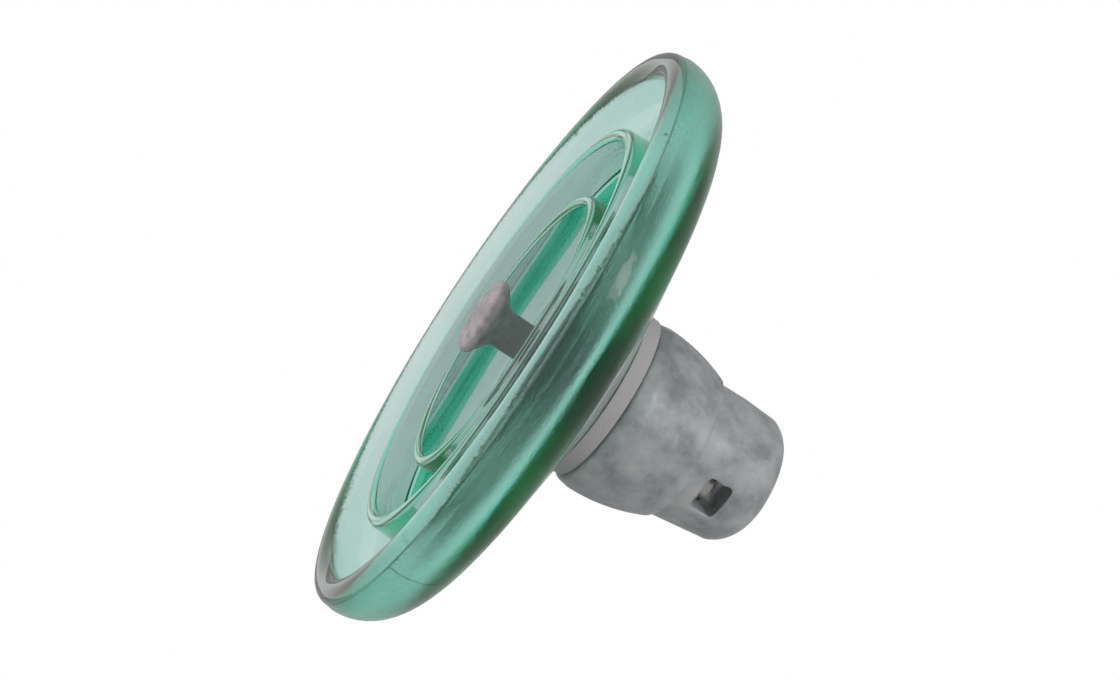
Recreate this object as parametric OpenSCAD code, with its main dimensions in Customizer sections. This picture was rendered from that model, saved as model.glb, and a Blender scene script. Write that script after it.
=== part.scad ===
// Cap and pin disc insulator: one unit of a suspension string.
// A toughened glass shed hangs from a cast cap by cement and carries a forged ball pin.
// Heights are worked out above the drip lip's lowest edge (lip = 0, cap upwards), and the
// finished unit is then lowered so that the origin is the ball seat in the cap's socket.
// The clip window faces -Y and the socket's mouth faces +Y.

/* [Glass shed] */
// Diameter over the shed
disc_d = 265; // [255:1:280]
// Radius of the round edge of the drip lip
lip_r = 5.8; // [5:0.1:6.5]
// Fall of the top of the shed, in degrees
dome_angle = 15; // [13:0.5:17]
// Radius of the shed's outer shoulder
shoulder_r = 23; // [19:0.5:25]
// Height above the lip at which the straight fall of the top reaches the shed's edge
edge_h = 27.07495; // [25:0.00005:29]
// Thickness of the shed over the outer groove
shed_t = 13; // [11:0.5:14.5]
// Thickness of the shed over the inner groove
root_t = 14; // [12:0.5:16]
// Thickness of the glass round the pin hole's mouth
hub_t = 17; // [15:0.5:19]

/* [Ribs under the shed] */
// Distance from the shed's edge to the middle of the outer rib
rib1_inset = 39.6; // [38:0.1:42]
// Thickness of the outer rib at its tip
rib1_t = 5.6; // [5:0.1:6.5]
// Height of the outer rib's tip above the lip
rib1_h = 3.5; // [1:0.1:6]
// Distance from the middle of the outer rib to that of the inner rib
rib_pitch = 30.1; // [28:0.1:32]
// Thickness of the inner rib at its tip
rib2_t = 4.6; // [4:0.1:5.5]
// Height of the inner rib's tip above the lip
rib2_h = 6.6; // [4:0.1:9]
// Widening of a rib's flank between its tip and its root
rib_draft = 1.4; // [0.8:0.1:2]
// Fillet at the root of the ribs
root_fillet = 4; // [2.5:0.25:5]
// Fillet between the drip lip and the shed
lip_fillet = 9; // [6:0.5:10]

/* [Glass head] */
// Radius of the collar below the cap's rim
collar_r = 35; // [34:0.1:36]
// Fillet from the shed up to the collar
collar_fillet = 6; // [4:0.5:7]
// Radius of the head's waist just inside the cap
waist_r = 28.4; // [27.5:0.1:29]
// Radius of the head's bulge
bulge_r = 29.6; // [29:0.1:30]
// Radius of the head near its top
crown_r = 25; // [24:0.1:26]
// Depth of the bulge below the top of the head
bulge_drop = 21.8; // [19:0.1:24]
// Depth of the head's upper shoulder below its top
crown_drop = 4.8; // [4:0.1:6]
// Height of the head above the cap's rim
head_rise = 35.8; // [34:0.1:37]
// Thickness of the glass over the pin hole
crown_t = 12.2; // [11:0.1:13]
// Radius of the pin hole at its mouth
mouth_r = 22.5; // [21:0.1:24]
// Radius of the pin hole half way up
hole_r = 20.2; // [19.5:0.1:21]
// Height of the hole's mouth cone
mouth_cone = 14; // [12:0.5:16]
// Radius of the pin hole at its top
hole_top_r = 17.5; // [16.5:0.1:18.5]
// Depth of the hole's upper shoulder below its top
hole_drop = 15.6; // [14:0.1:17]

/* [Cap] */
// Height of the cap's rim above the foot of the glass collar
rim_rise = 6.8; // [6:0.1:8]
// Radius of the cap's rim
rim_r = 37.8; // [37.2:0.1:38.2]
// Largest radius of the bell
bell_r = 38.9; // [38.4:0.1:39.6]
// Height of the bell's largest radius above the rim
bell_rise = 6.5; // [5:0.1:8]
// Radius of the bell's domed side
bell_arc = 80; // [70:1:95]
// Inner radius of the rim
rim_in_r = 31.8; // [31.3:0.1:32.4]
// Inner radius of the bell above the rim
cavity_r = 33.2; // [32.8:0.1:33.6]
// Inner radius of the bell at its top
cavity_top_r = 28.6; // [28.2:0.1:29]
// Room between the top of the glass head and the ceiling inside the bell
ceiling_gap = 3.2; // [2.6:0.1:3.8]
// Radius of the socket head at its foot
head_foot_r = 31.6; // [31:0.1:32.2]
// Radius of the socket head below its domed end
head_top_r = 28.7; // [28.3:0.1:29.2]
// Radius of the socket head's domed end
head_dome = 17; // [14:0.5:20]
// How far the cast bell sits off the core, towards +X
bell_shift = 1.4; // [0:0.1:2]
// Lean of the cast socket head towards -X, in degrees
head_lean = 3.2; // [0:0.1:4]

/* [Ball socket] */
// Width of the socket, for the ball of the 16 mm coupling
socket_w = 34.5; // [34.1:0.1:35]
// Width of the slot for the pin's shank
slot_w = 19.2; // [18.6:0.1:19.8]
// Thickness of the iron between the bell's ceiling and the socket's floor
floor_t = 9; // [8:0.1:10]
// Height of the ball seat above the socket's floor
pocket_h = 20; // [19:0.1:21]
// Height of the socket's mouth
mouth_open = 15.5; // [15:0.1:16]
// Thickness of the cap's end over the seat
seat_t = 9; // [8:0.1:10]
// Width of the clip window
window_w = 16; // [15.4:0.1:17]
// Height of the clip window
window_t = 10.4; // [9:0.1:11]

/* [Ball pin] */
// Diameter of the pin's shank
shank_d = 16.2; // [15.8:0.1:17]
// Diameter of the ball
ball_d = 33; // [31.8:0.1:33.3]
// Height of the ball from its pole to its neck
ball_h = 13.4; // [12.6:0.1:13.4]
// Radius of the ball's domed face
ball_dome = 50; // [45:1:60]
// How far the ball's pole hangs below the lip
ball_drop = 6.5; // [5:0.1:8]
// Radius of the pin's head inside the glass
pin_head_r = 14.6; // [13.5:0.1:15.2]
// Height of the pin's head
pin_head_h = 8; // [7:0.1:9]
// Length of the cone between the shank and the pin's head
pin_cone_h = 14; // [12:0.1:16]
// Thickness of the cork over the pin's head
cork_t = 3.4; // [3:0.1:4]

/* [Locking clip] */
// Width of the strip that the clip is bent from
strip_w = 3.2; // [2.8:0.1:3.6]
// Height of the strip
strip_t = 3.6; // [3:0.1:4]
// How far behind the socket's centre the clip's loop begins
loop_back = 19.5; // [18.5:0.1:20]
// Distance between the clip's two legs, over their centre lines
leg_gap = 8.8; // [8:0.1:9.6]
// Length of each straight leg
leg_len = 8.5; // [8:0.1:9]
// Radius of the bend where each arm leaves its leg
spread_r = 4; // [3.5:0.1:4.5]
// Angle at which the two arms spread, in degrees
arm_angle = 50; // [45:1:55]
// Length of each straight arm
arm_len = 4.5; // [4:0.1:5]
// Radius of the bend at the end of each arm
lobe_r = 5; // [4.6:0.1:5.2]
// Length of the straight end that lies under the ball
tail_len = 2.2; // [1.5:0.1:2.6]
// Depth of the room that lets the clip slide back when it is unlocked
clip_room = 4.5; // [4.3:0.1:5]

/* [Fit] */
// Coating of bitumen between cement and glass or metal
film = 0.2; // [0.1:0.05:0.3]
// Gap between rigid pieces that only rest on each other
seat_gap = 0.3; // [0.2:0.05:0.4]
// Radius of the soft cushion between the glass head and the cap
cushion_r = 19; // [17:0.5:20]

/* [Hidden] */
$fn = 144;

arc_steps = 9;
side_steps = 14;
snug = 1.02;
bell_wall = 5;
rim_round = 2.2;
spare = 5;
cement_inset = 1;

// Small steps and slopes of the glass lip, and how full its edge and the ribs' edges are rounded
lip_step = 0.6;
lip_draft = 0.5;
lip_slope = 3.5;
band_h = 3;
lip_full = 0.98;
rib_full = 0.48;

// Roundings of the glass head and of the pin hole
collar_round = 1.2;
waist_round = 2;
bulge_round = 12;
crown_round = 10;
head_round = 4;
mouth_rise = 4;
mouth_round = 3;
hole_round = 10;
hole_end_round = 5;

// Steps and roundings of the room inside the cap
cavity_low = 4;
cavity_step = 5;
cavity_round = 3;

// Roundings of the ball, the shank and the pin's head
ball_steps = 8;
ball_step = 0.8;
ball_edge_in = 2;
ball_edge_t = 3.4;
ball_edge_round = 1.4;
ball_back_round = 1.6;
shank_round = 3;
pin_head_round = 2;
pin_head_slope = 1;
shank_r = shank_d / 2;
ball_r = ball_d / 2;
disc_r = disc_d / 2;
rib1_r = disc_r - rib1_inset;
rib2_r = rib1_r - rib_pitch;

// Heights above the lip, each from the one below it
collar_foot_h = edge_h + (disc_r - collar_r) * tan(dome_angle);
rim_h = collar_foot_h + rim_rise;
bell_h = rim_h + bell_rise;
head_h = rim_h + head_rise;
hole_h = head_h - crown_t;
pin_h = hole_h - cork_t - 2 * film;
ceiling_h = head_h + ceiling_gap;
floor_h = ceiling_h + floor_t;
seat_h = floor_h + pocket_h;
cap_h = seat_h + seat_t;
head_low = ceiling_h + 1;
collar_h = rim_h - seat_gap;

// Top of the shed above the lip at radius r, taken along its straight fall
function dome_z(r) = collar_foot_h - (r - collar_r) * tan(dome_angle);
mouth_h = dome_z(mouth_r) - hub_t - mouth_rise;

// Points of a corner [x, y, radius] between its neighbours, as an arc that touches both sides
function unit(v) = v / norm(v);
function flat(c) = [c.x, c.y];
function round_corner(before, corner, after) =
    let (
        to_before = unit(flat(before) - flat(corner)),
        to_after = unit(flat(after) - flat(corner)),
        half = acos(to_before * to_after) / 2,
        centre = flat(corner) + unit(to_before + to_after) * corner[2] / sin(half),
        start = flat(corner) + to_before * corner[2] / tan(half) - centre,
        turn = cross(to_before, to_after) > 0 ? -1 : 1,
        sweep = (180 - 2 * half) * turn,
        first = atan2(start.y, start.x)
    )
    [for (i = [0 : arc_steps]) centre + corner[2] * [cos(first + sweep * i / arc_steps),
                                                     sin(first + sweep * i / arc_steps)]];

// Closed outline through corners [x, y, radius], where radius 0 keeps the corner sharp
function outline(corners) =
    let (n = len(corners))
    [for (i = [0 : n - 1])
        each corners[i][2] == 0
            ? [flat(corners[i])]
            : round_corner(corners[(i + n - 1) % n], corners[i], corners[(i + 1) % n])];

module turned(corners) {
    rotate_extrude() polygon(outline(corners));
}

// ---- Glass shell ----

// Corners of the head from the collar upwards, moved outwards by grow
function head_side(grow) = [
    [waist_r + grow, collar_h + grow, waist_round],
    [bulge_r + grow, head_h - bulge_drop, bulge_round],
    [crown_r + grow, head_h - crown_drop, crown_round],
    [crown_r - head_round + grow, head_h + grow, head_round]
];

// Corners of the pin hole from its mouth upwards, moved inwards by grow
function hole_side(grow) = [
    [mouth_r - grow, mouth_h, mouth_round],
    [hole_r - grow, mouth_h + mouth_cone, bulge_round],
    [hole_r - grow, hole_h - hole_drop, hole_round],
    [hole_top_r - grow, hole_h - grow, hole_end_round]
];

module glass_shell() {
    lip_out = disc_r - lip_step;
    lip_in = lip_out - 2 * lip_r;
    rib1_out = rib1_r + rib1_t / 2;
    rib1_in = rib1_r - rib1_t / 2;
    rib2_out = rib2_r + rib2_t / 2;
    rib2_in = rib2_r - rib2_t / 2;
    groove1_out = lip_in - lip_slope;
    color([0.56, 0.74, 0.68, 0.6]) turned(concat(
        // top of the shed, from the collar out to the lip
        [[collar_r, collar_h, collar_round],
         [collar_r, dome_z(collar_r), collar_fillet],
         [disc_r, dome_z(disc_r), shoulder_r],
         [disc_r, lip_r + band_h, 0],
         [lip_out, lip_r, 0],
         [lip_out, 0, lip_r * lip_full],
         [lip_in, 0, lip_r * lip_full],
         [lip_in - lip_draft, lip_r, 0]],
        // underside, inwards over the two ribs
        [[groove1_out, dome_z(groove1_out) - shed_t, lip_fillet],
         [rib1_out + rib_draft, dome_z(rib1_out) - shed_t, root_fillet],
         [rib1_out, rib1_h, rib1_t * rib_full],
         [rib1_in, rib1_h, rib1_t * rib_full],
         [rib1_in - rib_draft, dome_z(rib1_in) - root_t, root_fillet],
         [rib2_out + rib_draft, dome_z(rib2_out) - root_t, root_fillet],
         [rib2_out, rib2_h, rib2_t * rib_full],
         [rib2_in, rib2_h, rib2_t * rib_full],
         [rib2_in - rib_draft, dome_z(rib2_in) - hub_t, root_fillet]],
        hole_side(0),
        [[0, hole_h, 0], [0, head_h, 0]],
        [for (i = [3 : -1 : 0]) head_side(0)[i]]
    ));
}

// ---- Cap ----

module cap_bell() {
    // domed side, as an arc that is upright at the bell's largest radius
    top_h = ceiling_h + bell_wall;
    full = asin((top_h - bell_h) / bell_arc);
    side = [for (i = [0 : side_steps]) let (a = full * i / side_steps)
            [bell_r - bell_arc * (1 - cos(a)), bell_h + bell_arc * sin(a), 0]];
    translate([bell_shift, 0, 0])
        turned(concat([[0, rim_h, 0], [rim_r, rim_h, rim_round]], side, [[0, top_h, 0]]));
}

module cap_head() {
    tall = cap_h - head_low;
    translate([0, 0, head_low]) rotate([0, -head_lean, 0])
        turned([[0, 0, 0], [head_foot_r, 0, 0], [head_top_r, tall, head_dome], [0, tall, 0]]);
}

function cavity_side(grow) = [
    [rim_in_r - grow, rim_h + cavity_low, cavity_round],
    [cavity_r - grow, rim_h + cavity_low + cavity_step, cavity_step],
    [cavity_top_r - grow, ceiling_h - cavity_step, cavity_round],
    [cavity_top_r - cavity_step - grow, ceiling_h - grow, head_round]
];

module cap_cavity() {
    turned(concat([[0, rim_h - spare, 0], [rim_in_r, rim_h - spare, 0]], cavity_side(0),
                  [[0, ceiling_h, 0]]));
}

// Upright slot with a round inner end, open towards +Y
module open_slot(width, low, high) {
    translate([0, 0, low]) cylinder(d = width, h = high - low);
    translate([-width / 2, 0, low]) cube([width, bell_r + spare, high - low]);
}

module cap_socket() {
    // room that the ball passes through
    open_slot(socket_w, floor_h, floor_h + mouth_open);
    // pocket that the ball drops into, under its seat
    translate([0, 0, floor_h]) cylinder(d = socket_w, h = seat_h - floor_h);
    // slot for the shank, through the cap's end and down to the mouth
    open_slot(slot_w, floor_h + mouth_open - 1, cap_h + 1);
    // room behind the ball for the clip, and its window
    translate([0, -clip_room, floor_h]) cylinder(d = socket_w, h = strip_t + 1);
    translate([-window_w / 2, -bell_r - spare, floor_h]) cube([window_w, bell_r, window_t]);
}

module cap() {
    color([0.60, 0.60, 0.61]) difference() {
        union() {
            cap_bell();
            cap_head();
        }
        cap_cavity();
        cap_socket();
    }
}

// ---- Pin ----

module pin() {
    edge_a = asin((ball_r - ball_edge_in) / ball_dome);
    dome = [for (i = [0 : ball_steps]) let (a = edge_a * i / ball_steps)
            [ball_dome * sin(a), ball_dome * (1 - cos(a)) - ball_drop, 0]];
    low_h = ball_dome * (1 - cos(edge_a)) - ball_drop + ball_step;
    neck_h = ball_h - ball_drop;
    color([0.42, 0.43, 0.42]) turned(concat(dome, [
        [ball_r, low_h, ball_edge_round],
        [ball_r, low_h + ball_edge_t, ball_back_round],
        [shank_r, neck_h - ball_step, shank_round],
        [shank_r, pin_h - pin_head_h - pin_cone_h, shank_round],
        [pin_head_r, pin_h - pin_head_h, shank_round],
        [pin_head_r - pin_head_slope, pin_h, pin_head_round],
        [0, pin_h, 0]
    ]));
}

// ---- Cement ----

module cap_cement() {
    low = rim_h + cement_inset;
    color([0.72, 0.71, 0.68]) rotate_extrude() difference() {
        polygon(outline(concat(
            [[0, low, 0], [rim_in_r - film, low, 0]],
            cavity_side(film),
            [[0, ceiling_h - film, 0]])));
        polygon(outline(concat([[0, low - spare, 0], [waist_r + film, low - spare, 0]],
                               [for (i = [1 : 3]) head_side(film)[i]],
                               [[0, head_h + film, 0]])));
        translate([0, head_h - 1]) square([cushion_r + film, ceiling_h - head_h + 2]);
    }
}

module pin_cement() {
    low = mouth_h + mouth_round;
    high = hole_h - cork_t - film;
    color([0.72, 0.71, 0.68]) rotate_extrude() difference() {
        intersection() {
            polygon(outline(concat([[0, mouth_h, 0]], hole_side(film), [[0, hole_h - film, 0]])));
            translate([0, low]) square([mouth_r, high - low]);
        }
        polygon(outline([
            [0, low - spare, 0],
            [shank_r + film, low - spare, 0],
            [shank_r + film, pin_h - pin_head_h - pin_cone_h, shank_round],
            [pin_head_r + film, pin_h - pin_head_h, shank_round],
            [pin_head_r - pin_head_slope + film, pin_h + film, pin_head_round],
            [0, pin_h + film, 0]
        ]));
    }
}

// ---- Cushions that let the glass and the pin settle under load ----

module head_cushion() {
    color([0.16, 0.16, 0.17]) translate([0, 0, head_h + film])
        cylinder(r = cushion_r, h = ceiling_h - head_h - 2 * film);
}

module pin_cushion() {
    color([0.55, 0.42, 0.28]) translate([0, 0, pin_h + film])
        cylinder(r = pin_head_r - pin_head_round, h = cork_t);
}

// ---- Locking clip ----

// Direction at an angle from +Y towards +X
function heading(angle) = [sin(angle), cos(angle)];

// Middle line of the clip's right half, from the back of its loop to the end under the ball
function clip_half() =
    let (
        loop_r = leg_gap / 2,
        lobe_turn = (arm_angle + 90) / 2,
        spread_t = spread_r * tan(arm_angle / 2),
        lobe_t = lobe_r * tan(lobe_turn / 2),
        spread = [loop_r, leg_len + spread_t],
        lobe_1 = spread + (spread_t + arm_len + lobe_t) * heading(arm_angle),
        lobe_2 = lobe_1 + 2 * snug * lobe_t * heading(arm_angle - lobe_turn),
        tail = lobe_2 + (lobe_t + tail_len) * heading(-90)
    )
    [[loop_r, -loop_r, loop_r / snug], [spread.x, spread.y, spread_r],
     [lobe_1.x, lobe_1.y, lobe_r], [lobe_2.x, lobe_2.y, lobe_r], [tail.x, tail.y, 0]];

// Corner i of a line that runs beside a path at a distance, to its left if it is positive
function beside(path, i, distance) =
    let (
        last = len(path) - 1,
        here = flat(path[i]),
        towards = i > 0 ? unit(here - flat(path[i - 1])) : unit(flat(path[1]) - here),
        away = i < last ? unit(flat(path[i + 1]) - here) : towards,
        middle = unit(towards + away),
        reach = distance / (middle * towards),
        point = here + reach * [-middle.y, middle.x],
        radius = path[i][2]
    )
    [point.x, point.y, radius == 0 ? 0 : radius - sign(cross(towards, away)) * distance];

module locking_clip() {
    right = clip_half();
    last = len(right) - 1;
    path = concat([for (i = [last : -1 : 0]) [-right[i].x, right[i].y, right[i][2]]], right);
    color([0.66, 0.64, 0.58]) translate([0, -loop_back, floor_h + seat_gap])
        linear_extrude(strip_t) polygon(outline(concat(
            [for (i = [0 : len(path) - 1]) beside(path, i, strip_w / 2)],
            [for (i = [len(path) - 1 : -1 : 0]) beside(path, i, -strip_w / 2)]
        )));
}

module placed() {
    translate([0, 0, -seat_h]) children();
}

placed() glass_shell();
placed() cap();
placed() pin();
placed() cap_cement();
placed() pin_cement();
placed() head_cushion();
placed() pin_cushion();
placed() locking_clip();
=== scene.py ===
"""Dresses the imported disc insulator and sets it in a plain, pale studio.

The insulator hangs in its own frame, in metres: the ball seat of the cap is the origin, and the
axis is Z. Sizes in the classes of the pieces and finishes are in millimetres, and heights are above
the lip. Sizes in the studio are in metres.
"""

import logging
import math
from dataclasses import dataclass, field
from enum import Enum
from typing import Optional, Sequence, Union

import bpy
from mathutils import Matrix, Vector

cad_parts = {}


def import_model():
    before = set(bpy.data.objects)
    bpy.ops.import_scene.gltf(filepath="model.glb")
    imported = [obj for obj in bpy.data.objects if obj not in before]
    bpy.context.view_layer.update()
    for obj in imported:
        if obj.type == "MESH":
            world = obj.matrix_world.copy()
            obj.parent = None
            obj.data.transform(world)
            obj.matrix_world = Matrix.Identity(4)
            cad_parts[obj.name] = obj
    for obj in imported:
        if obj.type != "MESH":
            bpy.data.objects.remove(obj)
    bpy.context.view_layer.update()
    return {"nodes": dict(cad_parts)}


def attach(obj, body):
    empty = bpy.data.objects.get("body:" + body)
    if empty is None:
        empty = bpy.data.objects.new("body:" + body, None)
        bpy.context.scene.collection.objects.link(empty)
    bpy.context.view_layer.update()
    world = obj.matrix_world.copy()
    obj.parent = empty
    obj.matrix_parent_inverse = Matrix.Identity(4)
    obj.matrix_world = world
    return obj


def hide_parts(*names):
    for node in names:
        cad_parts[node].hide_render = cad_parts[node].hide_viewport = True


log = logging.getLogger("insulator")

Colour = tuple[float, float, float]
Place = tuple[float, float, float]
Socket = bpy.types.NodeSocket

SEAT_H = 128.0  # height of the ball seat above the lip, in millimetres
WELD = 0.000001  # distance in metres under which two points of a turned form are one
NODE_WELD = 0.000002  # the same for the loose triangles of a node


class Body(str, Enum):
    """The rigid bodies that the pieces ride on."""

    INSULATOR = "insulator"
    CLIP = "clip"


def metres(millimetres: float) -> float:
    """Turns millimetres into metres."""
    return millimetres / 1000.0


def level(height: float) -> float:
    """Turns a height above the lip, in millimetres, into a place along Z, in metres."""
    return metres(height - SEAT_H)


def rgba(colour: Colour) -> tuple[float, float, float, float]:
    """Gives an opaque colour with its fourth value."""
    return (colour[0], colour[1], colour[2], 1.0)


def clear_selection() -> None:
    """Deselects every object, so that an operator acts on the new piece alone."""
    bpy.ops.object.select_all(action="DESELECT")


def work_on(piece: bpy.types.Object) -> None:
    """Makes a piece the only one that is selected and active.

    Args:
        piece: The object that the next operators act on.
    """
    clear_selection()
    piece.select_set(True)
    bpy.context.view_layer.objects.active = piece


def apply_all(piece: bpy.types.Object) -> None:
    """Applies every modifier of a piece, in order.

    Args:
        piece: The object whose modifiers become its mesh.
    """
    work_on(piece)
    for modifier in list(piece.modifiers):
        bpy.ops.object.modifier_apply(modifier=modifier.name)


# ---- Turned forms ----


@dataclass(frozen=True)
class Corner:
    """A corner of a turned outline, in millimetres: radius, height above the lip and rounding."""

    r: float
    z: float
    rounding: float = 0.0

    def place(self) -> Vector:
        """Gives the corner's place in the outline's plane."""
        return Vector((self.r, self.z))


@dataclass(frozen=True)
class Outline:
    """A closed outline whose corners are rounded by arcs that touch both their sides."""

    corners: Sequence[Corner]
    step: float = math.radians(7.5)

    def arc(self, before: Corner, corner: Corner, after: Corner) -> list[Vector]:
        """Rounds one corner.

        Args:
            before: The corner before it.
            corner: The corner that is rounded.
            after: The corner after it.

        Returns:
            The points of the arc, from one side to the other.
        """
        to_before = (before.place() - corner.place()).normalized()
        to_after = (after.place() - corner.place()).normalized()
        half = math.acos(max(-1.0, min(1.0, to_before.dot(to_after)))) / 2
        middle = (to_before + to_after).normalized()
        centre = corner.place() + middle * (corner.rounding / math.sin(half))
        start = corner.place() + to_before * (corner.rounding / math.tan(half)) - centre
        turn = -1.0 if to_before.x * to_after.y - to_before.y * to_after.x > 0 else 1.0
        sweep = (math.pi - 2 * half) * turn
        first = math.atan2(start.y, start.x)
        count = max(3, math.ceil(abs(sweep) / self.step))
        angles = [first + sweep * i / count for i in range(count + 1)]
        return [centre + Vector((math.cos(a), math.sin(a))) * corner.rounding for a in angles]

    def points(self) -> list[Vector]:
        """Rounds every corner that has a rounding.

        Returns:
            The outline's points, one after another.
        """
        line: list[Vector] = []
        count = len(self.corners)
        for i, corner in enumerate(self.corners):
            if corner.rounding == 0:
                line.append(corner.place())
            else:
                before, after = self.corners[i - 1], self.corners[(i + 1) % count]
                line += self.arc(before, corner, after)
        return line


def turn_on_axis(name: str, line: Sequence[Vector], steps: int) -> bpy.types.Object:
    """Draws a line in the XZ plane, point by point, and spins it round the axis.

    Args:
        name: The name of the new piece.
        line: The points, as radius and height above the lip in millimetres.
        steps: How many steps the spin takes.

    Returns:
        The new piece, closed, with its faces outwards.
    """
    places = [Vector((metres(p.x), 0.0, level(p.y))) for p in line]
    clear_selection()
    bpy.ops.mesh.primitive_plane_add(size=0.001, location=(0, 0, 0))
    piece = bpy.context.object
    piece.name = piece.data.name = name
    bpy.ops.object.mode_set(mode="EDIT")
    bpy.ops.mesh.select_mode(type="VERT")
    bpy.ops.mesh.select_all(action="SELECT")
    bpy.ops.mesh.merge(type="CENTER")
    bpy.ops.transform.translate(value=places[0])
    for here, there in zip(places, places[1:]):
        bpy.ops.mesh.extrude_region_move(TRANSFORM_OT_translate={"value": there - here})
    bpy.ops.mesh.select_all(action="SELECT")
    bpy.ops.mesh.spin(steps=steps, angle=2 * math.pi, center=(0, 0, 0), axis=(0, 0, 1))
    bpy.ops.mesh.select_all(action="SELECT")
    bpy.ops.mesh.remove_doubles(threshold=WELD)
    bpy.ops.mesh.normals_make_consistent(inside=False)
    bpy.ops.object.mode_set(mode="OBJECT")
    return piece


def copy_of_node(node: bpy.types.Object, name: str) -> bpy.types.Object:
    """Copies a CAD node with its own mesh and closes the copy's loose faces.

    Args:
        node: The node of the frame.
        name: The name of the copy.

    Returns:
        The copy, ready to be shaped further.
    """
    piece = node.copy()
    piece.data = node.data.copy()
    piece.name = piece.data.name = name
    piece.parent = None
    piece.matrix_world = node.matrix_world.copy()
    bpy.context.collection.objects.link(piece)
    piece.data.materials.clear()
    work_on(piece)
    bpy.ops.object.transform_apply(location=True, rotation=True, scale=True)
    bpy.ops.object.mode_set(mode="EDIT")
    bpy.ops.mesh.select_all(action="SELECT")
    bpy.ops.mesh.remove_doubles(threshold=NODE_WELD)
    bpy.ops.object.mode_set(mode="OBJECT")
    return piece


# ---- Materials ----


class Bench:
    """A node tree being wired up for a material or for the world."""

    def __init__(self, tree: bpy.types.NodeTree, coordinates: str) -> None:
        """Clears the tree.

        Args:
            tree: The tree.
            coordinates: Blender's name for the coordinates that its patterns read.
        """
        self.tree = tree
        self.tree.nodes.clear()
        self.coords = self.add("ShaderNodeTexCoord").outputs[coordinates]

    def add(self, kind: str, **settings: Union[str, float, bool]) -> bpy.types.Node:
        """Adds a node and sets its plain settings.

        Args:
            kind: Blender's name for the kind of node.
            settings: Values for the node's own properties.

        Returns:
            The new node.
        """
        node = self.tree.nodes.new(kind)
        for key, value in settings.items():
            setattr(node, key, value)
        return node

    def join(self, source: Socket, target: Socket) -> None:
        """Links two sockets."""
        self.tree.links.new(source, target)

    def remap(self, value: Socket, from_min: float, from_max: float,
              to_min: float = 0.0, to_max: float = 1.0) -> Socket:
        """Maps a value from one range to another, held inside it.

        Args:
            value: The value.
            from_min: Start of its range.
            from_max: End of its range.
            to_min: What the start becomes.
            to_max: What the end becomes.

        Returns:
            The mapped value.
        """
        node = self.add("ShaderNodeMapRange", interpolation_type="SMOOTHSTEP")
        for key, number in (("From Min", from_min), ("From Max", from_max),
                            ("To Min", to_min), ("To Max", to_max)):
            node.inputs[key].default_value = number
        self.join(value, node.inputs["Value"])
        return node.outputs["Result"]

    def maths(self, operation: str, first: Socket, second: Union[Socket, float]) -> Socket:
        """Combines two values.

        Args:
            operation: Blender's name for the sum.
            first: The first value.
            second: The second value, or a plain number.

        Returns:
            The result.
        """
        node = self.add("ShaderNodeMath", operation=operation)
        self.join(first, node.inputs[0])
        if isinstance(second, (int, float)):
            node.inputs[1].default_value = second
        else:
            self.join(second, node.inputs[1])
        return node.outputs[0]

    def product(self, *factors: Socket) -> Socket:
        """Multiplies values with each other.

        Args:
            factors: Two values or more.

        Returns:
            Their product.
        """
        total = factors[0]
        for factor in factors[1:]:
            total = self.maths("MULTIPLY", total, factor)
        return total

    def along(self, direction: Place) -> Socket:
        """Gives how far a point lies along a direction.

        Args:
            direction: The direction, of length 1.

        Returns:
            The distance from the origin, in metres in a material.
        """
        node = self.add("ShaderNodeVectorMath", operation="DOT_PRODUCT")
        node.inputs[1].default_value = direction
        self.join(self.coords, node.inputs[0])
        return node.outputs["Value"]

    def seen_rays(self) -> Socket:
        """Adds up the rays that see the background: from the camera, in gloss and through glass.

        Returns:
            1 for such a ray, 0 for any other.
        """
        path = self.add("ShaderNodeLightPath").outputs
        total = path["Is Camera Ray"]
        for name in ("Is Glossy Ray", "Is Transmission Ray"):
            total = self.maths("MAXIMUM", total, path[name])
        return total


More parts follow.
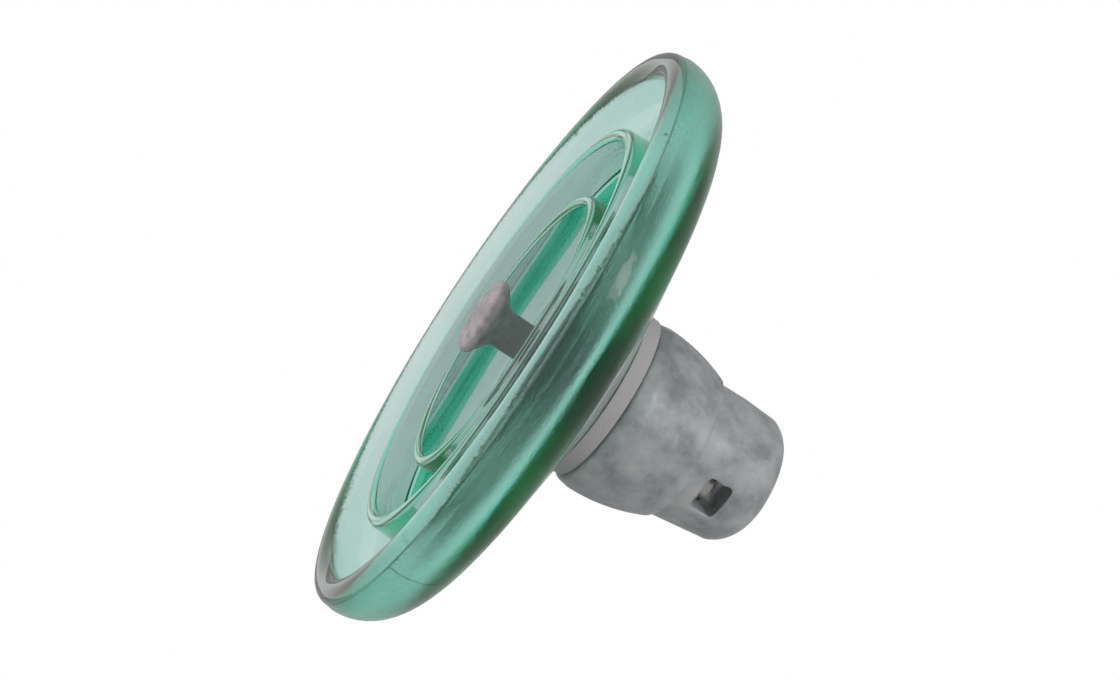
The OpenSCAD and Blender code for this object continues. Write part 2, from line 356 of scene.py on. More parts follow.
class Recipe(Bench):
    """The node tree of one material."""

    def __init__(self, name: str) -> None:
        """Starts a material with one principled shader.

        Args:
            name: The material's name.
        """
        self.material = bpy.data.materials.new(name)
        self.material.use_nodes = True
        super().__init__(self.material.node_tree, "Object")
        self.output = self.add("ShaderNodeOutputMaterial")
        self.shader = self.add("ShaderNodeBsdfPrincipled")
        self.join(self.shader.outputs["BSDF"], self.output.inputs["Surface"])

    def noise(self, scale: float, detail: float, rough: float = 0.5,
              stretch: Place = (1, 1, 1)) -> Socket:
        """Adds a noise pattern in the piece's own coordinates.

        Args:
            scale: How many blotches there are to a metre.
            detail: How many finer layers it has.
            rough: How strong the finer layers are.
            stretch: Scale along each axis before the pattern.

        Returns:
            The pattern's value, about 0.5 on average.
        """
        mapping = self.add("ShaderNodeMapping")
        mapping.inputs["Scale"].default_value = stretch
        texture = self.add("ShaderNodeTexNoise")
        texture.inputs["Scale"].default_value = scale
        texture.inputs["Detail"].default_value = detail
        texture.inputs["Roughness"].default_value = rough
        self.join(self.coords, mapping.inputs["Vector"])
        self.join(mapping.outputs["Vector"], texture.inputs["Vector"])
        return texture.outputs["Fac"]

    def ramp(self, value: Socket, stops: Sequence[tuple[float, Colour]]) -> Socket:
        """Turns a value into a colour.

        Args:
            value: The value, from 0 to 1.
            stops: Places and colours along the ramp.

        Returns:
            The colour.
        """
        node = self.add("ShaderNodeValToRGB")
        elements = node.color_ramp.elements
        elements[0].position, elements[0].color = stops[0][0], rgba(stops[0][1])
        elements[1].position, elements[1].color = stops[-1][0], rgba(stops[-1][1])
        for position, colour in stops[1:-1]:
            elements.new(position).color = rgba(colour)
        self.join(value, node.inputs["Fac"])
        return node.outputs["Color"]

    def bump(self, height: Socket, distance: float, strength: float = 1.0,
             under: Optional[Socket] = None) -> Socket:
        """Adds a relief.

        Args:
            height: The relief's height, from 0 to 1.
            distance: What 1 stands for, in metres.
            strength: How much of it shows.
            under: The relief that it lies on.

        Returns:
            The normal.
        """
        node = self.add("ShaderNodeBump")
        node.inputs["Distance"].default_value = distance
        node.inputs["Strength"].default_value = strength
        self.join(height, node.inputs["Height"])
        if under is not None:
            self.join(under, node.inputs["Normal"])
        return node.outputs["Normal"]

    def mix(self, first: Socket, second: Colour, share: Socket) -> Socket:
        """Blends a colour into another.

        Args:
            first: The colour where the share is 0.
            second: The colour where the share is 1.
            share: The share of the second one.

        Returns:
            The blended colour.
        """
        node = self.add("ShaderNodeMix", data_type="RGBA")
        colours = [socket for socket in node.inputs if socket.type == "RGBA"]
        colours[1].default_value = rgba(second)
        self.join(first, colours[0])
        self.join(share, node.inputs[0])
        return next(socket for socket in node.outputs if socket.type == "RGBA")

    def line(self, distance: Socket, half_width: float) -> Socket:
        """Draws a thin line where a distance is near 0.

        Args:
            distance: The distance from the line, in metres.
            half_width: Half the line's width, in metres.

        Returns:
            1 on the line, 0 beside it.
        """
        away = self.maths("ABSOLUTE", distance, 0.0)
        return self.remap(away, half_width * 0.5, half_width * 1.5, 1.0, 0.0)

    def place(self) -> tuple[Socket, Socket]:
        """Splits a point's place into two parts.

        Returns:
            Its distance from the axis and its height over the origin, both in metres.
        """
        split = self.add("ShaderNodeSeparateXYZ")
        self.join(self.coords, split.inputs[0])
        flat = self.add("ShaderNodeCombineXYZ")
        self.join(split.outputs["X"], flat.inputs["X"])
        self.join(split.outputs["Y"], flat.inputs["Y"])
        length = self.add("ShaderNodeVectorMath", operation="LENGTH")
        self.join(flat.outputs[0], length.inputs[0])
        return length.outputs["Value"], split.outputs["Z"]


@dataclass(frozen=True)
class PressedGlass:
    """Toughened glass with a green cast that shows where the light runs far inside it.

    Its outer flank keeps the mould's marks: a parting line above the lip, one seam that climbs
    from it over the shoulder, and the fine pitting of the mould's wall.
    """

    ior: float = 1.52
    skin: Colour = (0.86, 0.73, 0.76)
    cloudy: Colour = (0.8, 0.69, 0.715)
    mark: Colour = (0.05, 0.1, 0.09)
    tint: Colour = (0.05, 0.82, 0.66)
    tint_density: float = 42.0
    streak: Place = (1, 1, 2.5)
    roughest: float = 0.012
    flank_r: float = 106.0
    flank_h: float = 5.0
    parting_h: float = 4.47
    parting_r: float = 128.5
    seam_top: float = 27.0
    seam_r: float = 119.0
    seam_angle: float = -67.0
    seam_wobble: float = 3.0
    mark_width: float = 0.36
    pit_depth: float = 0.13
    wave_depth: float = 0.05
    speck: Place = (-122.5, -47.0, -125.0)
    speck_r: float = 1.0

    def parting(self, recipe: Recipe, radius: Socket, height: Socket) -> Socket:
        """Draws the mould's parting line, worn away in places.

        Args:
            recipe: The material in the making.
            radius: Distance from the axis.
            height: Height over the origin.

        Returns:
            1 on the line, 0 elsewhere.
        """
        outer = recipe.remap(radius, metres(self.parting_r), metres(self.parting_r + 1))
        worn = recipe.remap(recipe.noise(16, 2), 0.35, 0.6, 0.55, 1.0)
        above = recipe.maths("SUBTRACT", height, level(self.parting_h))
        return recipe.product(recipe.line(above, metres(self.mark_width)), outer, worn)

    def seam(self, recipe: Recipe, height: Socket) -> Socket:
        """Draws the seam that climbs from the parting line on one side.

        Args:
            recipe: The material in the making.
            height: Height over the origin.

        Returns:
            1 on the seam, 0 elsewhere.
        """
        turn = math.radians(self.seam_angle)
        beside = recipe.along((math.sin(turn), -math.cos(turn), 0.0))
        ahead = recipe.along((math.cos(turn), math.sin(turn), 0.0))
        uneven = recipe.maths("SUBTRACT", recipe.noise(60, 1), 0.5)
        wobble = recipe.maths("MULTIPLY", uneven, metres(self.seam_wobble))
        line = recipe.line(recipe.maths("ADD", beside, wobble), metres(self.mark_width))
        outside = recipe.remap(ahead, metres(self.seam_r), metres(self.seam_r + 0.5))
        foot = recipe.remap(height, level(self.parting_h - 0.1), level(self.parting_h))
        top = recipe.remap(height, level(self.seam_top), level(self.seam_top + 0.5), 1.0, 0.0)
        return recipe.product(line, outside, foot, top)

    def dark_speck(self, recipe: Recipe) -> Socket:
        """Draws one dark speck beside the marks.

        Args:
            recipe: The material in the making.

        Returns:
            1 on the speck, 0 elsewhere.
        """
        away = recipe.add("ShaderNodeVectorMath", operation="DISTANCE")
        recipe.join(recipe.coords, away.inputs[0])
        away.inputs[1].default_value = [metres(c) for c in self.speck]
        inner, outer = metres(self.speck_r * 0.6), metres(self.speck_r)
        return recipe.remap(away.outputs["Value"], inner, outer, 1.0, 0.0)

    def relief(self, recipe: Recipe, radius: Socket, height: Socket) -> Socket:
        """Draws the pits of the mould's wall on the flank and a slow wave all over.

        Args:
            recipe: The material in the making.
            radius: Distance from the axis.
            height: Height over the origin.

        Returns:
            The normal.
        """
        outer = recipe.remap(radius, metres(self.flank_r), metres(self.flank_r + 12))
        above = recipe.remap(height, level(self.flank_h), level(self.flank_h + 2))
        patchy = recipe.remap(recipe.noise(25, 2), 0.3, 0.6, 0.3, 1.0)
        pits = recipe.product(recipe.noise(640, 3, 0.7, (1, 1, 1.6)), outer, above, patchy)
        pitted = recipe.bump(pits, metres(self.pit_depth))
        return recipe.bump(recipe.noise(18, 1.5), metres(self.wave_depth), 1.0, pitted)

    def make(self) -> bpy.types.Material:
        """Mixes skin, marks, relief and the green that deepens inside.

        Returns:
            The material.
        """
        recipe = Recipe("pressed_glass")
        shader = recipe.shader
        radius, height = recipe.place()
        marks = self.parting(recipe, radius, height)
        for more in (self.seam(recipe, height), self.dark_speck(recipe)):
            marks = recipe.maths("MAXIMUM", marks, more)
        clear = recipe.ramp(recipe.noise(30, 3, 0.5, self.streak),
                            [(0.35, self.skin), (0.7, self.cloudy)])
        recipe.join(recipe.mix(clear, self.mark, marks), shader.inputs["Base Color"])
        shader.inputs["Transmission Weight"].default_value = 1.0
        shader.inputs["IOR"].default_value = self.ior
        streaks = recipe.noise(22, 3, 0.5, self.streak)
        recipe.join(recipe.remap(streaks, 0.35, 0.75, 0.0, self.roughest),
                    shader.inputs["Roughness"])
        recipe.join(self.relief(recipe, radius, height), shader.inputs["Normal"])
        absorption = recipe.add("ShaderNodeVolumeAbsorption")
        absorption.inputs["Color"].default_value = rgba(self.tint)
        absorption.inputs["Density"].default_value = self.tint_density
        recipe.join(absorption.outputs[0], recipe.output.inputs["Volume"])
        return recipe.material


@dataclass(frozen=True)
class GalvanisedIron:
    """Cast iron under a dull, mottled hot-dip zinc skin."""

    pale: Colour = (0.36, 0.37, 0.38)
    dull: Colour = (0.24, 0.25, 0.26)
    bright: Colour = (0.45, 0.46, 0.46)
    metallic: float = 0.55
    roughness: float = 0.52
    sand_depth: float = 0.18
    lump_depth: float = 0.7

    def make(self) -> bpy.types.Material:
        """Mixes blotches, uneven gloss, cast lumps and sand.

        Returns:
            The material.
        """
        recipe = Recipe("galvanised_iron")
        shader = recipe.shader
        colour = recipe.ramp(recipe.noise(70, 6, 0.6),
                             [(0.32, self.dull), (0.5, self.pale), (0.72, self.bright)])
        recipe.join(colour, shader.inputs["Base Color"])
        shader.inputs["Metallic"].default_value = self.metallic
        gloss = recipe.remap(recipe.noise(160, 4), 0.3, 0.7,
                             self.roughness - 0.12, self.roughness + 0.12)
        recipe.join(gloss, shader.inputs["Roughness"])
        sand = recipe.bump(recipe.noise(900, 5, 0.6), metres(self.sand_depth), 0.8)
        lumps = recipe.bump(recipe.noise(150, 3), metres(self.lump_depth), 0.8, sand)
        recipe.join(lumps, shader.inputs["Normal"])
        return recipe.material


@dataclass(frozen=True)
class ForgedSteel:
    """The pin's forged steel, zinc dipped and gone dark and rough, with painted shade that turns
    the shank dark green above its neck.
    """

    face: Colour = (0.47, 0.42, 0.435)
    dark: Colour = (0.3, 0.265, 0.275)
    bright: Colour = (0.58, 0.53, 0.54)
    # painted shade: a dark green for the shank in the hollow under the glass
    painted_shank_shade: Colour = (0.2, 0.225, 0.21)
    painted_shade_share: float = 0.85
    neck_h: float = 9.0
    neck_fade: float = 5.0
    metallic: float = 0.3
    scale_depth: float = 0.3

    def make(self) -> bpy.types.Material:
        """Mixes the ball's mottled face, the painted shade on the shank and a forged scale.

        Returns:
            The material.
        """
        recipe = Recipe("forged_steel")
        shader = recipe.shader
        colour = recipe.ramp(recipe.noise(190, 6, 0.65),
                             [(0.3, self.dark), (0.55, self.face), (0.75, self.bright)])
        _, height = recipe.place()
        # painted shade: above the neck the colour is mixed towards the dark green of the shank
        above = recipe.remap(height, level(self.neck_h - self.neck_fade), level(self.neck_h),
                             0.0, self.painted_shade_share)
        recipe.join(recipe.mix(colour, self.painted_shank_shade, above), shader.inputs["Base Color"])
        shader.inputs["Metallic"].default_value = self.metallic
        recipe.join(recipe.remap(recipe.noise(300, 3), 0.3, 0.7, 0.55, 0.8),
                    shader.inputs["Roughness"])
        scale = recipe.bump(recipe.noise(700, 5, 0.6), metres(self.scale_depth), 0.8)
        recipe.join(scale, shader.inputs["Normal"])
        return recipe.material


@dataclass(frozen=True)
class Plain:
    """A dull finish: two blotchy colours, a fine grain and, if given, a colour beyond a radius."""

    name: str
    first: Colour
    second: Colour
    blotch: float
    grain: float
    relief: float
    roughness: float
    metallic: float = 0.0
    outside: Optional[tuple[float, Colour]] = None
    gloss_spread: float = 0.08

    def make(self) -> bpy.types.Material:
        """Mixes the blotches, the outer colour where there is one, and the grain.

        Returns:
            The material.
        """
        recipe = Recipe(self.name)
        shader = recipe.shader
        colour = recipe.ramp(recipe.noise(self.blotch, 5, 0.6),
                             [(0.35, self.first), (0.65, self.second)])
        if self.outside is not None:
            start, outer = self.outside
            radius, _ = recipe.place()
            beyond = recipe.remap(radius, metres(start), metres(start + 1))
            colour = recipe.mix(colour, outer, beyond)
        recipe.join(colour, shader.inputs["Base Color"])
        shader.inputs["Metallic"].default_value = self.metallic
        gloss = recipe.remap(recipe.noise(self.grain, 2), 0.3, 0.7,
                             self.roughness - self.gloss_spread, self.roughness + self.gloss_spread)
        recipe.join(gloss, shader.inputs["Roughness"])
        grain = recipe.bump(recipe.noise(self.grain, 4), metres(self.relief))
        recipe.join(grain, shader.inputs["Normal"])
        return recipe.material


CEMENT = Plain("set_cement", first=(0.62, 0.64, 0.6), second=(0.72, 0.74, 0.7),
               blotch=140, grain=900, relief=0.3, roughness=0.88)
SKIRT = Plain("cement_foot", first=(0.55, 0.55, 0.53), second=(0.66, 0.66, 0.63),
              blotch=140, grain=900, relief=0.3, roughness=0.88,
              outside=(33.5, (0.3, 0.285, 0.29)))
CUSHION = Plain("soft_cushion", first=(0.03, 0.03, 0.032), second=(0.05, 0.05, 0.05),
                blotch=80, grain=600, relief=0.2, roughness=0.8)
CORK = Plain("pressed_cork", first=(0.22, 0.12, 0.06), second=(0.4, 0.25, 0.14),
             blotch=500, grain=1100, relief=0.4, roughness=0.9)
SPRING = Plain("spring_strip", first=(0.42, 0.41, 0.38), second=(0.52, 0.5, 0.46),
               blotch=200, grain=1500, relief=0.05, roughness=0.38, metallic=0.9)


def dress(piece: bpy.types.Object, material: bpy.types.Material) -> None:
    """Gives a piece or a node one material in all its slots.

    Args:
        piece: The object.
        material: The material that it shows.
    """
    if not piece.material_slots:
        piece.data.materials.append(material)
    for slot in piece.material_slots:
        slot.material = material


def shade_below(piece: bpy.types.Object, degrees: float) -> None:
    """Shades a piece smooth wherever it turns less than an angle.

    Args:
        piece: The object.
        degrees: The angle above which an edge stays sharp.
    """
    work_on(piece)
    bpy.ops.object.shade_smooth_by_angle(angle=math.radians(degrees))


def cut_with(piece: bpy.types.Object, form: bpy.types.Object, operation: str) -> None:
    """Cuts a piece with a form and throws the form away.

    Args:
        piece: The casting that is cut.
        form: The form that cuts it.
        operation: INTERSECT keeps what lies inside the form, DIFFERENCE what lies outside.
    """
    cutter = piece.modifiers.new(form.name, "BOOLEAN")
    cutter.operation = operation
    cutter.solver = "EXACT"
    cutter.object = form
    apply_all(piece)
    bpy.data.objects.remove(form, do_unlink=True)


# ---- The glass shell ----


@dataclass
class GlassShell:
    """The pressed shed with its drip lip, two ribs and head, in millimetres."""

    disc_r: float = 132.5
    lip_r: float = 5.8
    fall: float = math.tan(math.radians(15))
    shoulder_r: float = 23.0
    foot_h: float = 53.2
    shed_t: float = 13.0
    root_t: float = 10.5
    hub_t: float = 17.0
    ribs: Sequence[tuple[float, float, float]] = ((92.9, 5.6, 3.5), (62.8, 4.6, 6.6))
    rib_draft: float = 1.4
    root_fillet: float = 4.0
    lip_fillet: float = 9.0
    collar_r: float = 35.0
    lip_inset: float = 0.6
    groove_inset: float = 3.5
    lip_rounding: float = 0.98
    tip_rounding: float = 0.48
    waist_r: float = 28.4
    widest: Corner = Corner(29.6, 74, 12)
    brow: Corner = Corner(25, 91, 10)
    crown_r: float = 21.0
    head_h: float = 95.8
    mouth_r: float = 22.5
    mouth_rise: float = 4.0
    hole_r: float = 20.2
    bend_h: float = 68.0
    hole_top_r: float = 17.5
    hole_h: float = 83.6
    spin_steps: int = 256
    smooth_below: float = 50.0
    finish: PressedGlass = field(default_factory=PressedGlass)

    def dome(self, radius: float) -> float:
        """Gives the height of the shed's top at a radius."""
        return self.foot_h - (radius - self.collar_r) * self.fall

    def rib(self, middle: float, width: float, tip: float,
            outside: float, inside: float) -> list[Corner]:
        """Gives the corners of one rib, from its outer root over its tip to its inner root.

        Args:
            middle: Radius of the rib's middle.
            width: Its width at the tip.
            tip: Height of its tip.
            outside: Thickness of the shed outside it.
            inside: Thickness of the shed inside it.

        Returns:
            The corners, from the outside inwards.
        """
        outer, inner = middle + width / 2, middle - width / 2
        rounding = width * self.tip_rounding
        return [
            Corner(outer + self.rib_draft, self.dome(outer) - outside, self.root_fillet),
            Corner(outer, tip, rounding),
            Corner(inner, tip, rounding),
            Corner(inner - self.rib_draft, self.dome(inner) - inside, self.root_fillet),
        ]

    def corners(self) -> list[Corner]:
        """Sets out the whole section, from the shoulder inwards below and back over the head.

        Returns:
            The corners of the closed section.
        """
        lip_out = self.disc_r - self.lip_inset
        lip_in = lip_out - 2 * self.lip_r
        groove = lip_in - self.groove_inset
        rounding = self.lip_r * self.lip_rounding
        mouth_h = self.dome(self.mouth_r) - self.hub_t - self.mouth_rise
        return [
            Corner(self.disc_r, self.dome(self.disc_r), self.shoulder_r),
            Corner(self.disc_r, self.lip_r + 3),
            Corner(lip_out, self.lip_r),
            Corner(lip_out, 0, rounding),
            Corner(lip_in, 0, rounding),
            Corner(lip_in - 0.5, self.lip_r),
            Corner(groove, self.dome(groove) - self.shed_t, self.lip_fillet),
            *self.rib(*self.ribs[0], self.shed_t, self.root_t),
            *self.rib(*self.ribs[1], self.root_t, self.hub_t),
            Corner(self.mouth_r, mouth_h, 3),
            Corner(self.hole_r, mouth_h + 14, 12),
            Corner(self.hole_r, self.bend_h, 10),
            Corner(self.hole_top_r, self.hole_h, 5),
            Corner(0, self.hole_h),
            Corner(0, self.head_h),
            Corner(self.crown_r, self.head_h, 4),
            self.brow,
            self.widest,
            Corner(self.waist_r, self.dome(self.waist_r), 2),
        ]

    def line(self) -> list[Vector]:
        """Opens the section on the axis.

        Returns:
            Its points, from the axis on the head's top round to the axis under the head.
        """
        points = Outline(self.corners()).points()
        end = next(i for i, p in enumerate(points) if p.x < 0.001 and p.y > self.hole_h + 1)
        return points[end:] + points[:end]

    def build(self) -> bpy.types.Object:
        """Builds the shell.

        Returns:
            The shell as one closed piece.
        """
        shell = turn_on_axis("glass_shell_dressed", self.line(), self.spin_steps)
        shade_below(shell, self.smooth_below)
        return shell

    def dress(self) -> None:
        """Builds the shell and puts it in the place of its node."""
        shell = self.build()
        dress(shell, self.finish.make())
        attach(shell, Body.INSULATOR.value)
        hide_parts("glass_shell")
        log.info("glass shell: %d faces", len(shell.data.polygons))


# ---- Cast and forged pieces ----


@dataclass(frozen=True)
class Trim:
    """A turned form, leaning and off the axis, that a casting is cut down to, in millimetres.

    The cut starts at the height low: below it the form is wider than the casting.
    """

    low: float
    foot_r: float
    top_r: float
    top_h: float
    rounding: float
    shift: float
    lean: float
    clear_r: float = 60.0
    clear_h: float = -5.0
    spin_steps: int = 128

    def cut(self, piece: bpy.types.Object) -> None:
        """Keeps only what lies inside the form.

        Args:
            piece: The casting.
        """
        step = self.low - 0.001
        line = Outline([Corner(0, self.clear_h), Corner(self.clear_r, self.clear_h),
                        Corner(self.clear_r, step), Corner(self.foot_r, self.low),
                        Corner(self.top_r, self.top_h, self.rounding),
                        Corner(0, self.top_h)]).points()
        form = turn_on_axis("trim", line, self.spin_steps)
        pivot = Matrix.Translation((0, 0, level(self.low)))
        lean = Matrix.Rotation(math.radians(-self.lean), 4, "Y")
        aside = Matrix.Translation((metres(self.shift), 0, 0))
        form.matrix_world = aside @ pivot @ lean @ pivot.inverted()
        cut_with(piece, form, "INTERSECT")


@dataclass(frozen=True)
class Splay:
    """A four-sided splay that opens a window's outer edge towards -Y, in millimetres."""

    middle: Place
    half_width: float
    half_height: float
    depth: float
    spread: float

    def cut(self, piece: bpy.types.Object) -> None:
        """Cuts the splay out of a casting.

        Args:
            piece: The casting.
        """
        clear_selection()
        corner_r = math.sqrt(2)
        bpy.ops.mesh.primitive_cone_add(vertices=4, radius1=corner_r * (1 + self.spread),
                                        radius2=corner_r, depth=1, location=(0, 0, 0),
                                        rotation=(0, 0, math.radians(45)))
        form = bpy.context.object
        form.name = "splay"
        bpy.ops.object.transform_apply(location=True, rotation=True, scale=True)
        form.scale = (metres(self.half_width), metres(self.half_height), metres(self.depth))
        form.rotation_euler = (math.radians(-90), 0, 0)
        form.location = (metres(self.middle[0]), metres(self.middle[1]), level(self.middle[2]))
        cut_with(piece, form, "DIFFERENCE")


@dataclass
class RoughForm:
    """A casting or forging: the node's form, cut by its trims, with its edges softened."""

    node: str
    voxel: float
    soften: int
    trims: Sequence[Union[Trim, Splay]] = ()

    def build(self, source: bpy.types.Object) -> bpy.types.Object:
        """Copies the node, closes it to one skin and softens its edges.

        Args:
            source: The CAD node.

        Returns:
            The new piece.
        """
        piece = copy_of_node(source, self.node + "_dressed")
        for trim in self.trims:
            trim.cut(piece)
        skin = piece.modifiers.new("skin", "REMESH")
        skin.mode = "VOXEL"
        skin.voxel_size = metres(self.voxel)
        skin.adaptivity = 0.0
        soft = piece.modifiers.new("soft", "SMOOTH")
        soft.factor = 0.5
        soft.iterations = self.soften
        apply_all(piece)
        bpy.ops.object.shade_smooth()
        return piece


@dataclass
class Metalwork:
    """The cap, whose socket head is slimmed, tilted and splayed at its window, and the ball pin."""

    cap: RoughForm = field(default_factory=lambda: RoughForm("cap", voxel=0.8, soften=3, trims=(
        Trim(low=99.0, foot_r=31.2, top_r=27.4, top_h=141.0, rounding=0.0, shift=0.0, lean=2.4),
        Trim(low=99.0, foot_r=31.4, top_r=29.3, top_h=137.0, rounding=17.0, shift=1.2, lean=5.2),
        Splay(middle=(1.0, -29.6, 112.6), half_width=8.0, half_height=4.8, depth=3.4, spread=0.36),
    )))
    pin: RoughForm = field(default_factory=lambda: RoughForm("pin", voxel=0.6, soften=3))

    def dress(self, nodes: dict[str, bpy.types.Object]) -> None:
        """Builds both pieces and puts them in the places of their nodes.

        Args:
            nodes: The CAD nodes by name.
        """
        for form, finish, slot in ((self.cap, GalvanisedIron(), "cap_iron"),
                                   (self.pin, ForgedSteel(), "pin_steel")):
            piece = form.build(nodes[form.node])
            dress(piece, finish.make())
            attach(piece, Body.INSULATOR.value)
            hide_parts(form.node)
            log.info("%s: %d faces", form.node, len(piece.data.polygons))


@dataclass
class LockingClip:
    """The bent strip in the socket, with its edges rounded."""

    edge: float = 0.5
    edge_steps: int = 3
    flat_below: float = 1.0
    sharp_above: float = 50.0
    smooth_below: float = 40.0

    def build(self, source: bpy.types.Object) -> bpy.types.Object:
        """Copies the node and bevels its long edges.

        Args:
            source: The CAD node.

        Returns:
            The new piece.
        """
        piece = copy_of_node(source, "locking_clip_dressed")
        work_on(piece)
        bpy.ops.object.mode_set(mode="EDIT")
        bpy.ops.mesh.select_all(action="SELECT")
        bpy.ops.mesh.dissolve_limited(angle_limit=math.radians(self.flat_below))
        bpy.ops.object.mode_set(mode="OBJECT")
        bevel = piece.modifiers.new("edge", "BEVEL")
        bevel.width = metres(self.edge)
        bevel.segments = self.edge_steps
        bevel.limit_method = "ANGLE"
        bevel.angle_limit = math.radians(self.sharp_above)
        apply_all(piece)
        shade_below(piece, self.smooth_below)
        return piece

    def dress(self, nodes: dict[str, bpy.types.Object]) -> None:
        """Builds the clip and puts it in the place of its node.

        Args:
            nodes: The CAD nodes by name.
        """
        piece = self.build(nodes["locking_clip"])
        dress(piece, SPRING.make())
        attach(piece, Body.CLIP.value)
        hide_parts("locking_clip")
        log.info("locking clip: %d faces", len(piece.data.polygons))


@dataclass
class CapCement:
    """The cement between head and cap, which shows as a low foot between shed and rim."""

    foot_r: float = 38.0
    rim_h: float = 59.9
    cap_r: float = 31.6
    cap_top_h: float = 98.8
    cushion_r: float = 19.2
    film: float = 0.2
    spin_steps: int = 128
    smooth_below: float = 50.0

    def corners(self, shell: GlassShell) -> list[Corner]:
        """Sets out its section, from the foot upwards outside and down along the head.

        Args:
            shell: The glass that it is set on.

        Returns:
            The corners of the closed section.
        """
        film, top_h = self.film, shell.head_h + self.film
        return [
            Corner(self.foot_r, shell.dome(self.foot_r) + film, 0.5),
            Corner(self.foot_r - 0.5, self.rim_h),
            Corner(self.cap_r, self.rim_h),
            Corner(self.cap_r, 64, 3),
            Corner(33.0, 69, 5),
            Corner(28.4, 94, 3),
            Corner(23.4, self.cap_top_h, 4),
            Corner(self.cushion_r, self.cap_top_h),
            Corner(self.cushion_r, top_h),
            Corner(shell.crown_r + film, top_h, 1.5),
            Corner(shell.brow.r + film, shell.brow.z, shell.brow.rounding),
            Corner(shell.widest.r + film, shell.widest.z, shell.widest.rounding),
            Corner(shell.waist_r + film, shell.dome(shell.waist_r) + film, 1.8),
        ]

    def dress(self) -> None:
        """Builds the cement and puts it in the place of its node."""
        line = Outline(self.corners(GlassShell())).points()
        cement = turn_on_axis("cap_cement_dressed", [*line, line[0]], self.spin_steps)
        shade_below(cement, self.smooth_below)
        dress(cement, SKIRT.make())
        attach(cement, Body.INSULATOR.value)
        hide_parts("cap_cement")
        log.info("cap cement: %d faces", len(cement.data.polygons))


class Fillings:
    """Pin cement and cushions, which keep their nodes' forms."""

    FINISHES = {"pin_cement": CEMENT, "head_cushion": CUSHION, "pin_cushion": CORK}

    def dress(self, nodes: dict[str, bpy.types.Object]) -> None:
        """Gives each node its material.

        Args:
            nodes: The CAD nodes by name.
        """
        made: dict[str, bpy.types.Material] = {}
        for node, finish in self.FINISHES.items():
            if finish.name not in made:
                made[finish.name] = finish.make()
            dress(nodes[node], made[finish.name])
            log.info("%s: %s", node, finish.name)


# ---- The studio ----


@dataclass(frozen=True)
class Lamp:
    """A square soft lamp that faces the insulator's middle."""

    name: str
    place: Place
    size: float
    power: float
    glints: bool = False

    def hang(self, target: Vector) -> None:
        """Adds the lamp and turns it to a point.

        Args:
            target: Where it shines.
        """
        light = bpy.data.lights.new(self.name, "AREA")
        light.shape = "SQUARE"
        light.size = self.size
        light.energy = self.power
        lamp = bpy.data.objects.new(self.name, light)
        lamp.location = self.place
        lamp.rotation_euler = (target - Vector(self.place)).to_track_quat("-Z", "Y").to_euler()
        lamp.visible_glossy = self.glints
        lamp.visible_transmission = False
        bpy.context.collection.objects.link(lamp)


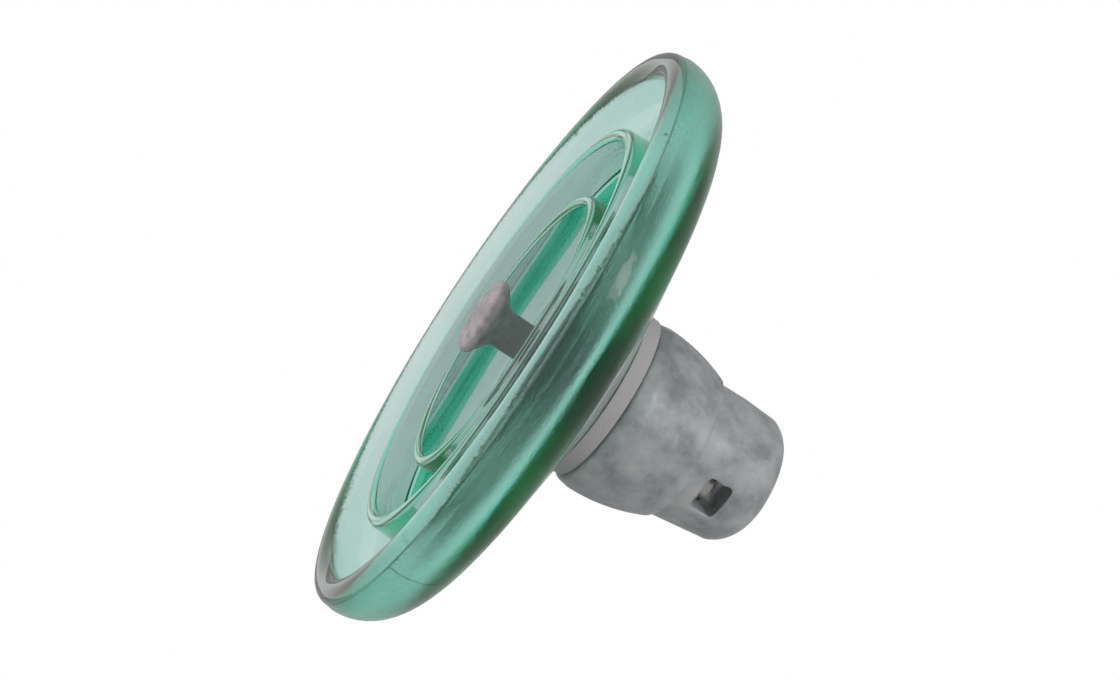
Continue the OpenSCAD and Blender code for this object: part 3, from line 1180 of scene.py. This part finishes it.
@dataclass
class Studio:
    """Floor, world, lamps and camera."""

    floor_drop: float = 1.1
    floor_size: float = 12.0
    floor_grey: Colour = (0.8, 0.8, 0.8)
    floor_roughness: float = 0.9
    fill: float = 0.68
    backdrop: Place = (0.39, 0.873, 0.292)
    backdrop_edge: tuple[float, float] = (0.2, 0.93)
    behind: float = 0.9
    mirrored: float = 0.42
    focal_length: float = 73.9
    camera_place: Place = (-0.37614, -0.84264, -0.28244)
    camera_right: Place = (-0.56612, 0.06696, 0.8216)
    camera_up: Place = (-0.7257, 0.43227, -0.53527)
    lit_point: Place = (0.0, 0.0, -0.06)
    lamps: Sequence[Lamp] = (
        Lamp("key", place=(-1.5, -1.1, 1.4), size=1.4, power=40),
        Lamp("rim", place=(0.9, 1.2, 0.9), size=1.2, power=14),
        Lamp("spark", place=(-1.38, -0.79, 0.52), size=0.12, power=2.2, glints=True),
    )

    def room(self, bench: Bench) -> Socket:
        """Gives the room's brightness: a white backdrop in a dimmer room, dimmer where mirrored.

        A ray through rough glass counts as both glossy and transmitted, so only the rays that are
        glossy and not transmitted are mirrored ones.

        Args:
            bench: The world's node tree.

        Returns:
            The brightness, 1 over the backdrop and wherever the camera sees the room itself.
        """
        fade = bench.remap(bench.along(self.backdrop), *self.backdrop_edge, self.behind, 1.0)
        path = bench.add("ShaderNodeLightPath").outputs
        thrown_back = bench.maths("SUBTRACT", path["Is Glossy Ray"], path["Is Transmission Ray"])
        mirror = bench.remap(thrown_back, 0.0, 1.0, 1.0, self.mirrored)
        return bench.maths("MAXIMUM", bench.product(fade, mirror), path["Is Camera Ray"])

    def set_world(self) -> None:
        """Lights the scene evenly and shows white wherever the background is seen."""
        world = bpy.data.worlds.new("studio")
        world.use_nodes = True
        bpy.context.scene.world = world
        bench = Bench(world.node_tree, "Generated")
        output = bench.add("ShaderNodeOutputWorld")
        seen = bench.add("ShaderNodeBackground")
        bench.join(self.room(bench), seen.inputs["Strength"])
        light = bench.add("ShaderNodeBackground")
        light.inputs["Strength"].default_value = self.fill
        for background in (seen, light):
            background.inputs["Color"].default_value = (1, 1, 1, 1)
        mix = bench.add("ShaderNodeMixShader")
        bench.join(bench.seen_rays(), mix.inputs["Fac"])
        bench.join(light.outputs[0], mix.inputs[1])
        bench.join(seen.outputs[0], mix.inputs[2])
        bench.join(mix.outputs[0], output.inputs["Surface"])

    def lay_floor(self) -> None:
        """Lays a wide white floor below the insulator, which takes its shadow."""
        clear_selection()
        bpy.ops.mesh.primitive_plane_add(size=self.floor_size, location=(0, 0, -self.floor_drop))
        floor = bpy.context.object
        floor.name = "floor"
        bpy.ops.object.transform_apply(location=True, rotation=True, scale=True)
        recipe = Recipe("floor_white")
        recipe.shader.inputs["Base Color"].default_value = rgba(self.floor_grey)
        recipe.shader.inputs["Roughness"].default_value = self.floor_roughness
        glow = recipe.add("ShaderNodeEmission")
        glow.inputs["Color"].default_value = (1, 1, 1, 1)
        glow.inputs["Strength"].default_value = 1.0
        mix = recipe.add("ShaderNodeMixShader")
        recipe.join(recipe.seen_rays(), mix.inputs["Fac"])
        recipe.join(recipe.shader.outputs[0], mix.inputs[1])
        recipe.join(glow.outputs[0], mix.inputs[2])
        recipe.join(mix.outputs[0], recipe.output.inputs["Surface"])
        dress(floor, recipe.material)

    def place_camera(self) -> None:
        """Puts the camera low on the side of the clip window, so that the axis lies aslant."""
        lens = bpy.data.cameras.new("camera")
        lens.lens = self.focal_length
        lens.sensor_width = 36
        lens.clip_end = 50
        camera = bpy.data.objects.new("camera", lens)
        right, up = Vector(self.camera_right), Vector(self.camera_up)
        turned = Matrix((right, up, right.cross(up))).transposed().to_4x4()
        camera.matrix_world = Matrix.Translation(self.camera_place) @ turned
        bpy.context.collection.objects.link(camera)
        bpy.context.scene.camera = camera

    def build(self) -> None:
        """Sets up the whole studio."""
        scene = bpy.context.scene
        scene.view_settings.view_transform = "Standard"
        scene.cycles.max_bounces = 40
        scene.cycles.glossy_bounces = 32
        scene.cycles.transmission_bounces = 32
        self.set_world()
        self.lay_floor()
        for lamp in self.lamps:
            lamp.hang(Vector(self.lit_point))
        self.place_camera()


def main() -> None:
    """Builds every piece in order and sets the studio."""
    logging.basicConfig(level=logging.INFO, format="%(name)s: %(message)s")
    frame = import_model()
    nodes = frame["nodes"]
    GlassShell().dress()
    Metalwork().dress(nodes)
    CapCement().dress()
    Fillings().dress(nodes)
    LockingClip().dress(nodes)
    Studio().build()
    log.info("all pieces are in place")


if __name__ == "__main__":
    main()
